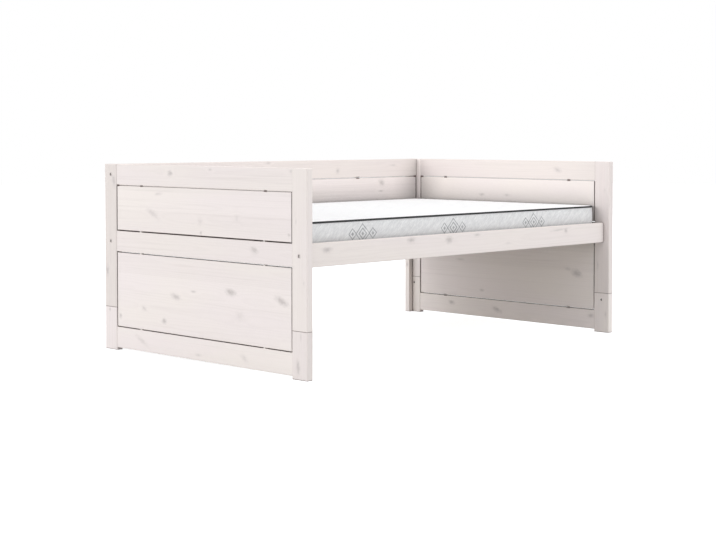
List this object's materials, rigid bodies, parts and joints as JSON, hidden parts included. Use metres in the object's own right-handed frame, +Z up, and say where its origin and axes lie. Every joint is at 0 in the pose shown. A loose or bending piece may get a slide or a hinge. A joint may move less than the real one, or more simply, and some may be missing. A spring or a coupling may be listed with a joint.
{
  "type": "cabin bed",
  "caption": "Whitewashed pine cabin bed with high closed ends and a closed back, an open front with a low side rail, open floor space below, a slatted base and a piped foam mattress.",
  "frame": {"origin": "on the floor, under the middle of the bed", "axes": "+X along the bed from the left end to the right end, -Y out of the open front, +Z up"},
  "size_m": [2.07, 1.335, 0.841],
  "materials": {
    "whitewashed_pine": "knotty pine, whitewashed and matt lacquered",
    "plain_pine": "planed pine",
    "beech": "turned and fluted beech",
    "zinc_steel": "zinc plated",
    "strap": "woven polyester strap",
    "foam": "open-cell foam",
    "border_cloth": "woven jacquard",
    "ticking": "quilted knit",
    "piping": "woven tape"
  },
  "bodies": {
    "bed": {"front_left_post": "whitewashed_pine", "back_left_post": "whitewashed_pine", "front_right_post": "whitewashed_pine", "back_right_post": "whitewashed_pine", "front_left_leg": "whitewashed_pine", "back_left_leg": "whitewashed_pine", "front_right_leg": "whitewashed_pine", "back_right_leg": "whitewashed_pine", "left_end_top_rail": "whitewashed_pine", "left_end_middle_rail": "whitewashed_pine", "left_end_bottom_rail": "whitewashed_pine", "left_end_upper_panel": "whitewashed_pine", "left_end_lower_panel": "whitewashed_pine", "right_end_top_rail": "whitewashed_pine", "right_end_middle_rail": "whitewashed_pine", "right_end_bottom_rail": "whitewashed_pine", "right_end_upper_panel": "whitewashed_pine", "right_end_lower_panel": "whitewashed_pine", "front_side_rail": "whitewashed_pine", "back_side_rail": "whitewashed_pine", "back_panel": "whitewashed_pine", "back_top_rail": "whitewashed_pine", "back_left_batten": "whitewashed_pine", "back_right_batten": "whitewashed_pine", "front_cleat": "plain_pine", "back_cleat": "plain_pine", "slat_01": "plain_pine", "slat_02": "plain_pine", "slat_03": "plain_pine", "slat_04": "plain_pine", "slat_05": "plain_pine", "slat_06": "plain_pine", "slat_07": "plain_pine", "slat_08": "plain_pine", "slat_09": "plain_pine", "slat_10": "plain_pine", "slat_11": "plain_pine", "slat_12": "plain_pine", "slat_13": "plain_pine", "slat_14": "plain_pine", "slat_15": "plain_pine", "leg_dowels": "beech", "end_frame_dowels": "beech", "panel_dowels": "beech", "side_rail_dowels": "beech", "frame_bolts": "zinc_steel", "frame_barrel_nuts": "zinc_steel", "leg_studs": "zinc_steel", "leg_barrel_nuts": "zinc_steel", "cleat_screws": "zinc_steel", "batten_screws": "zinc_steel", "slat_screws": "zinc_steel", "slat_webbing": "strap"},
    "mattress": {"mattress_core": "foam", "mattress_border": "border_cloth", "mattress_top_panel": "ticking", "mattress_bottom_panel": "ticking", "mattress_top_piping": "piping", "mattress_bottom_piping": "piping"}
  },
  "joints": [
    {"name": "mattress_lift", "type": "slide", "parent": "bed", "child": "mattress", "axis": [0, 0, 1], "range_m": [0, 0.35]}
  ]
}
